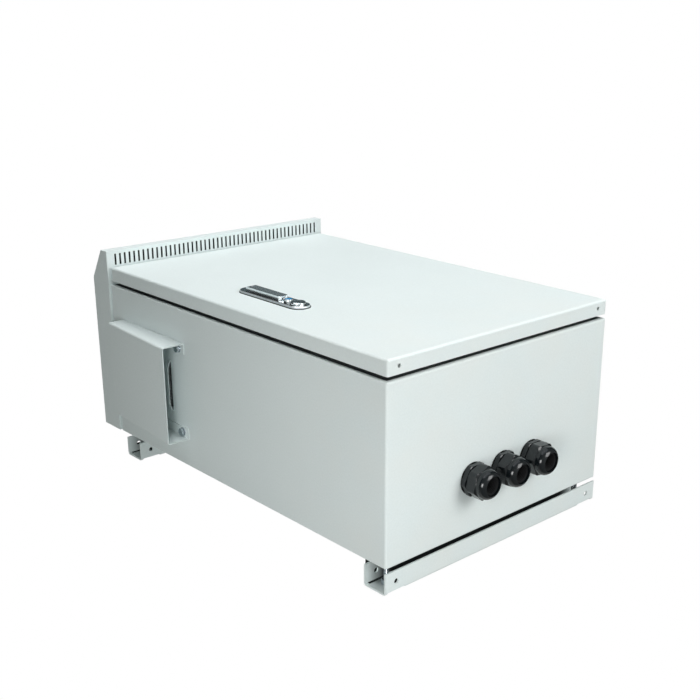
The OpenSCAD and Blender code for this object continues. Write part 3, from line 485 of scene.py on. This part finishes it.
def row_tree():
    """The node tree that sets copies of a prototype on a mesh's points."""
    tree = bpy.data.node_groups.new("row of copies", "GeometryNodeTree")
    sockets = {}
    for name, kind in (("Points", "NodeSocketGeometry"), ("Prototype", "NodeSocketObject"),
            ("Turn", "NodeSocketVector"), ("Spin", "NodeSocketFloat"), ("Finish", "NodeSocketMaterial")):
        sockets[name] = tree.interface.new_socket(name, in_out="INPUT", socket_type=kind).identifier
    tree.interface.new_socket("Copies", in_out="OUTPUT", socket_type="NodeSocketGeometry")
    given = tree.nodes.new("NodeGroupInput").outputs
    result = tree.nodes.new("NodeGroupOutput").inputs
    shape = tree.nodes.new("GeometryNodeObjectInfo")
    tree.links.new(given["Prototype"], shape.inputs["Object"])
    aim = tree.nodes.new("FunctionNodeEulerToRotation")
    tree.links.new(given["Turn"], aim.inputs[0])
    seats = tree.nodes.new("GeometryNodeInstanceOnPoints")
    tree.links.new(given["Points"], seats.inputs["Points"])
    tree.links.new(shape.outputs["Geometry"], seats.inputs["Instance"])
    tree.links.new(aim.outputs[0], seats.inputs["Rotation"])
    chance = tree.nodes.new("FunctionNodeRandomValue")
    chance.data_type = "FLOAT"
    for socket in chance.inputs:
        if socket.enabled and socket.name == "Max":
            tree.links.new(given["Spin"], socket)
        if socket.enabled and socket.name == "Seed":
            socket.default_value = 7
    angles = tree.nodes.new("ShaderNodeCombineXYZ")
    tree.links.new([socket for socket in chance.outputs if socket.enabled][0], angles.inputs["Z"])
    spun = tree.nodes.new("GeometryNodeRotateInstances")
    tree.links.new(seats.outputs["Instances"], spun.inputs["Instances"])
    tree.links.new(angles.outputs[0], spun.inputs["Rotation"])
    real = tree.nodes.new("GeometryNodeRealizeInstances")
    tree.links.new(spun.outputs["Instances"], real.inputs["Geometry"])
    finish = tree.nodes.new("GeometryNodeSetMaterial")
    tree.links.new(real.outputs["Geometry"], finish.inputs["Geometry"])
    tree.links.new(given["Finish"], finish.inputs["Material"])
    tree.links.new(finish.outputs["Geometry"], result["Copies"])
    return tree, sockets


row, row_sockets = row_tree()
along_x = (0, -math.pi / 2, 0)
along_y = (math.pi / 2, 0, 0)
along_z = (0, 0, 0)


def copies(form, name, places, turn, spin, material):
    """A plain mesh of the form set at places, its own height pointing to -X, -Y or +Z."""
    prototype = bpy.data.objects.new(name, plain_mesh(form, name, material))
    points = bpy.data.meshes.new(name)
    points.from_pydata([tuple(place) for place in places], [], [])
    carrier = bpy.data.objects.new(name, points)
    scene.collection.objects.link(carrier)
    modifier = carrier.modifiers.new("row", "NODES")
    modifier.node_group = row
    modifier[row_sockets["Prototype"]] = prototype
    modifier[row_sockets["Turn"]] = turn
    modifier[row_sockets["Spin"]] = spin
    modifier[row_sockets["Finish"]] = material
    finished = carrier.evaluated_get(bpy.context.evaluated_depsgraph_get())
    mesh = bpy.data.meshes.new_from_object(finished)
    carrier.modifiers.clear()
    bpy.data.objects.remove(carrier)
    bpy.data.objects.remove(prototype)
    return mesh


def bow(radius, height, curve, start, end, steps=5):
    """Points of a round edge about a centre, from one angle in degrees to another."""
    points = []
    for step in range(steps + 1):
        angle = math.radians(start + (end - start) * step / steps)
        points.append((radius + curve * math.cos(angle), height + curve * math.sin(angle)))
    return points


button_low, button_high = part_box("lock_button")
button_x = (button_low[0] + button_high[0]) / 2
button_z = (button_low[2] + button_high[2]) / 2
blue, blue_inputs, blue_place = new_finish("blue_button")
blue_x = axis(blue_place, 0) - button_x
blue_z = axis(blue_place, 2) - button_z
blue_ring = (blue_x * blue_x + blue_z * blue_z).between(0.0050 ** 2, 0.0052 ** 2)
blue_tone = cloud(blue_place, 120.0).blend((0.004, 0.20, 0.46, 1), (0.008, 0.25, 0.52, 1))
blue_ring.blend(blue_tone, (0.80, 0.84, 0.85, 1)).feed(blue_inputs["Base Color"])
blue_ring.feed(blue_inputs["Metallic"])
(0.14 + 0.12 * cloud(blue_place, 400.0)).feed(blue_inputs["Roughness"])
button_form = turned([(7.5, 0), (7.5, 2), (6.5, 2)] + bow(6.0, 8.1, 0.5, 0, 90)
    + [(5.3, 8.6), (5.1, 8.3), (4.0, 8.5), (1.0, 8.55)], closed=False)
button_mesh = copies(button_form, "button", [(button_x, button_high[1], button_z)], along_y, 0.0, blue)
handed_in(button_mesh, "blue_button", "button", "blue_plastic", "lock_button")

barrel_low, barrel_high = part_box("key_barrel")
barrel_x = (barrel_low[0] + barrel_high[0]) / 2
barrel_z = (barrel_low[2] + barrel_high[2]) / 2
barrel_form = turned([(5.55, 0), (8.0, 0), (8.0, 19.5), (10.5, 19.5)] + bow(9.3, 21.3, 1.2, 0, 90)
    + [(7.4, 22.5), (7.1, 22.2), (7.1, 20.4), (5.55, 20.4)])
barrel_mesh = copies(barrel_form, "barrel", [(barrel_x, barrel_high[1], barrel_z)], along_y, 0.0, chrome)
handed_in(barrel_mesh, "round_key_barrel", "door", "chrome_plate", "key_barrel")

plastic, plastic_inputs, plastic_place = new_finish("black_plastic")
plastic_tone = cloud(plastic_place, 35.0).blend((0.004, 0.006, 0.007, 1), (0.008, 0.011, 0.013, 1))
plastic_tone.feed(plastic_inputs["Base Color"])
(0.10 + 0.08 * cloud(plastic_place, 220.0)).feed(plastic_inputs["Roughness"])
plastic_inputs["Specular IOR Level"].default_value = 0.5
relief(cloud(plastic_place, 1400.0), 0.15, 0.0001).feed(plastic_inputs["Normal"])
paint(plastic, "button_case_cap")

# Vent
# A folded hood of coated sheet over the louvres, held by four zinc-plated hexagon bolts with washers.
# A welded steel mesh in a thin frame keeps animals out behind the louvres.
paint(coat, "vent_cover")


def thread(radius, low, high, pitch):
    """Points of a screw thread's rings, from low to high."""
    turns = int((high - low) / pitch)
    points = []
    for turn in range(turns):
        points.append((radius - 0.14 * pitch, low + turn * pitch))
        points.append((radius, low + (turn + 0.5) * pitch))
    return points + [(radius - 0.14 * pitch, low + turns * pitch)]


def hexagon_end(across, height, down):
    """Points of a hexagon's chamfered end: its corners are turned off at 30 degrees."""
    rim = 0.475 * across
    corner = 0.58 * across
    drop = (corner - rim) * math.tan(math.radians(30))
    points = []
    for step in range(5):
        share = step / 4
        aside = drop * (1 - share)
        points.append((corner + (rim - corner) * share, height + aside if down else height - aside))
    return points


def nut(across, thick, bore):
    outer = list(reversed(hexagon_end(across, 0, True))) + hexagon_end(across, thick, False)
    return turned([(bore + 0.4, 0)] + outer + [(bore + 0.4, thick), (bore, thick - 0.5), (bore, 0.5)], across)


def corners(node, reach_a, reach_b, axes):
    """The middles of four like pieces at the corners of a node's box."""
    low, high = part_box(node)
    first, second = axes
    ends_a = (low[first] + reach_a / 1000, high[first] - reach_a / 1000)
    ends_b = (low[second] + reach_b / 1000, high[second] - reach_b / 1000)
    return [(a, b) for a in ends_a for b in ends_b]


washer_low, washer_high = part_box("vent_cover_washers")
bolt_low, bolt_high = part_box("vent_cover_bolts")
nut_low, nut_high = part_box("vent_cover_nuts")
cover_places = corners("vent_cover_washers", 6.0, 6.0, (1, 2))
washer_form = turned([(3.1, 0), (5.7, 0), (6.0, 0.3), (6.0, 0.9), (5.7, 1.2), (3.1, 1.2)])
washer_mesh = copies(washer_form, "cover washers", [(washer_high[0], y, z) for y, z in cover_places],
    along_x, 6.0, zinc)
handed_in(washer_mesh, "cover_washers", "cabinet", "zinc_plate", "vent_cover_washers")
shaft = (bolt_high[0] - bolt_low[0]) * 1000 - 4.0
bolt_form = turned(thread(3.0, 0.0, shaft - 1.0, 1.0) + [(3.0, shaft), (4.75, shaft), (5.8, shaft + 0.6)]
    + hexagon_end(10, shaft + 4.0, False) + [(3.6, shaft + 3.8)], 10, closed=False)
bolt_mesh = copies(bolt_form, "cover bolts", [(bolt_high[0], y, z) for y, z in cover_places],
    along_x, 1.0, zinc)
handed_in(bolt_mesh, "cover_bolts", "cabinet", "zinc_plate", "vent_cover_bolts")
cover_nut_mesh = copies(nut(10, 5.0, 3.05), "cover nuts", [(nut_high[0], y, z) for y, z in cover_places],
    along_x, 1.0, zinc)
handed_in(cover_nut_mesh, "cover_nuts", "cabinet", "zinc_plate", "vent_cover_nuts")

mesh_steel = metal("steel_mesh", (0.62, 0.66, 0.68), (0.50, 0.54, 0.56), 0.30, 0.45, 200.0)
wire_r = 0.5
wire_pitch = 0.0048
wire_aside = 0.0002
frame_edge = 0.018
mesh_low, mesh_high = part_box("vent_mesh")


def strip_frame(low, high, edge):
    """A flat frame round a window, between two corners, thin along X."""
    form = bmesh.new()
    rings = []
    for x in (low[0], high[0]):
        for inset in (0.0, edge):
            y0, y1, z0, z1 = low[1] + inset, high[1] - inset, low[2] + inset, high[2] - inset
            places = ((x, y0, z0), (x, y1, z0), (x, y1, z1), (x, y0, z1))
            rings.append([form.verts.new(place) for place in places])
    for first, second in ((0, 1), (1, 3), (3, 2), (2, 0)):
        for corner in range(4):
            after = (corner + 1) % 4
            low_ring = rings[first]
            high_ring = rings[second]
            form.faces.new((low_ring[corner], low_ring[after], high_ring[after], high_ring[corner]))
    shaded(form, 30)
    return form


wire_x = (mesh_low[0] + mesh_high[0]) / 2
wire_y = (mesh_low[1] + mesh_high[1]) / 2
wire_z = (mesh_low[2] + mesh_high[2]) / 2
wire_width = mesh_high[1] - mesh_low[1] - 2 * frame_edge + 0.004
wire_height = mesh_high[2] - mesh_low[2] - 2 * frame_edge + 0.004
wires_across = int(wire_width / wire_pitch)
wires_up = int(wire_height / wire_pitch)


def wire(length):
    """One straight wire, its height along the length."""
    return turned([(wire_r, -500 * length), (wire_r, 500 * length)], closed=False, segments=8)


upright_places = []
for step in range(wires_across + 1):
    upright_places.append((wire_x - wire_aside, wire_y + (step - wires_across / 2) * wire_pitch, wire_z))
level_places = []
for step in range(wires_up + 1):
    level_places.append((wire_x + wire_aside, wire_y, wire_z + (step - wires_up / 2) * wire_pitch))
upright_mesh = copies(wire(wire_height), "upright wires", upright_places, along_z, 0.0, mesh_steel)
level_mesh = copies(wire(wire_width), "level wires", level_places, along_y, 0.0, mesh_steel)
screen_form = strip_frame(mesh_low, mesh_high, frame_edge)
screen_form.from_mesh(upright_mesh)
screen_form.from_mesh(level_mesh)
screen_mesh = plain_mesh(screen_form, "welded mesh", mesh_steel)
handed_in(screen_mesh, "welded_mesh", "cabinet", "steel_mesh", "vent_mesh")

# Cable glands
# Three moulded black plastic glands with rubber washers and seals. The dome nut's hexagon runs out
# in scallops on its round end, and the seal's rings show in its mouth.
gasket_r = 0.02125
gland_low, gland_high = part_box("gland_washers")
gland_y = (gland_low[1] + gland_high[1]) / 2
gland_xs = (gland_low[0] + gasket_r, (gland_low[0] + gland_high[0]) / 2, gland_high[0] - gasket_r)
gland_places = [(x, gland_y, gland_high[2]) for x in gland_xs]
gasket_form = turned([(17.1, 0), (20.7, 0), (21.25, -0.5), (21.25, -1.0), (20.7, -1.5), (17.1, -1.5)])
gasket_mesh = copies(gasket_form, "gland gaskets", gland_places, along_z, 0.0, rubber)
handed_in(gasket_mesh, "gland_gaskets", "cabinet", "black_rubber", "gland_washers")

gland_form = turned([(13.0, -22.0)] + thread(16.5, -22.0, -8.2, 1.5)
    + [(21.2, -8.0), (22.2, -7.4), (22.2, -2.1), (21.2, -1.5)] + thread(17.0, -1.4, 11.0, 1.5)
    + [(16.0, 11.5), (13.0, 11.5)], 40)
handed_in(copies(gland_form, "gland bodies", gland_places, along_z, 0.0, plastic),
    "gland_necks", "cabinet", "black_plastic", "gland_bodies")

scallop = [(22.2 - 2.7 * step / 8, -22.2 - 2.0 * (step / 8) ** 1.4) for step in range(9)]
crown = [(21.2, -9.5), (22.2, -10.1)]
dome = bow(9.0, -26.0, 10.5, 0, -67, 12)
mouth = thread(13.3, -35.7, -24.5, 2.2) + [(13.0, -24.0), (16.6, -24.0), (16.6, -9.5)]
dome_form = turned(crown + scallop + dome + mouth, 40)
handed_in(copies(dome_form, "dome nuts", gland_places, along_z, 1.0, plastic),
    "dome_nuts", "cabinet", "black_plastic", "gland_dome_nuts")

seal_rings = [(10.0 + 0.8 * (step % 2), -31.8 + 1.1 * step) for step in range(16)]
seal_form = turned([(12.9, -14.0), (12.9, -32.0), (12.3, -32.5), (10.8, -32.5)] + seal_rings
    + [(10.0, -14.0)])
handed_in(copies(seal_form, "gland seals", gland_places, along_z, 0.0, rubber),
    "gland_seals", "cabinet", "black_rubber", "gland_inserts")

locknut_places = [(x, gland_y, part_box("gland_locknuts")[0][2]) for x in gland_xs]
handed_in(copies(nut(46, 7.0, 17.1), "gland locknuts", locknut_places, along_z, 0.0, plastic),
    "locknuts", "cabinet", "black_plastic", "gland_locknuts")

# Rear rails
# Two folded channels of coated sheet that bear on the wall. Zinc-plated studs pressed into them pass
# through the rear panel, with a nut on the rail and one on each side of the panel.
def rail_inside(node):
    low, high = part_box(node)

    def inside(place):
        """1 deep inside the channel, where painted shade darkens the coat, 0 on its outside and at its ends.
        """
        x = axis(place, 0)
        z = axis(place, 2)
        depth = least(z - low[2], high[2] - z, high[1] - axis(place, 1))
        return depth.between(0.0022, 0.0024) * least(x - low[0], high[0] - x).between(0.004, 0.03)

    return inside


# Painted shade makes each rail's coat nearly black deep inside its channel.
for rail in ("lower_rail", "upper_rail"):
    paint(powder_coat(rail + "_coat", rail_inside(rail)), rail)

m8_corner = 13 / 2 / math.cos(math.radians(30))
rail_places = corners("rail_nuts", m8_corner, 6.5, (0, 2))
rail_low, rail_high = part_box("rail_nuts")
rail_seats = (rail_high[1], rail_low[1] + 0.0065, rail_low[1] + 0.0145)
rail_nut_mesh = copies(nut(13, 6.5, 4.05), "rail nuts",
    [(x, y, z) for x, z in rail_places for y in rail_seats], along_y, 1.0, zinc)
handed_in(rail_nut_mesh, "rail_hex_nuts", "cabinet", "zinc_plate", "rail_nuts")


def stud(length):
    """A pressed-in stud: a flat round head, then a thread with a bevelled end."""
    shank = thread(4.0, 1.4, length - 1.0, 1.25)
    return turned([(5.5, 0.0), (5.5, 1.2), (4.0, 1.2)] + shank + [(3.2, length)], closed=False)


def stud_row(node, name, material):
    low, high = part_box(node)
    form = stud((high[1] - low[1]) * 1000)
    places = [(x, high[1], z) for x, z in corners(node, 5.5, 5.5, (0, 2))]
    handed_in(copies(form, name, places, along_y, 0.0, material), name, "cabinet", "zinc_plate", node)


stud_row("rail_studs", "rail_threads", zinc)

# Inside
# A galvanised mounting plate on four zinc-plated studs, with a nut behind it and one in front of it
# on each stud. A brass earth stud carries zinc-plated nuts.
galvanised, spangle_inputs, spangle_place = new_finish("galvanised_sheet")
spangle = spangle_place.add("ShaderNodeTexVoronoi", None, {"Vector": spangle_place, "Scale": 90.0}, "Color")
spangle_tone = spangle.add("ShaderNodeSeparateColor", None, {0: spangle})
spangle_tone.blend((0.60, 0.63, 0.65, 1), (0.72, 0.75, 0.76, 1)).feed(spangle_inputs["Base Color"])
spangle_inputs["Metallic"].default_value = 0.9
(0.34 + 0.16 * spangle_tone).feed(spangle_inputs["Roughness"])
paint(galvanised, "mounting_plate")

plate_places = corners("plate_nuts", m8_corner, 6.5, (0, 2))
plate_low, plate_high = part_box("plate_nuts")
plate_seats = (plate_high[1], plate_low[1] + 0.0065)
plate_nut_mesh = copies(nut(13, 6.5, 4.05), "plate nuts",
    [(x, y, z) for x, z in plate_places for y in plate_seats], along_y, 1.0, zinc)
handed_in(plate_nut_mesh, "plate_hex_nuts", "cabinet", "zinc_plate", "plate_nuts")
stud_row("plate_studs", "plate_threads", zinc)

brass = metal("brass", (0.72, 0.53, 0.25), (0.62, 0.44, 0.19), 0.25, 0.45, 110.0)
paint(brass, "earth_stud")
paint(zinc, "earth_nuts")

# Update
# The view layer is brought up to date.
bpy.context.view_layer.update()
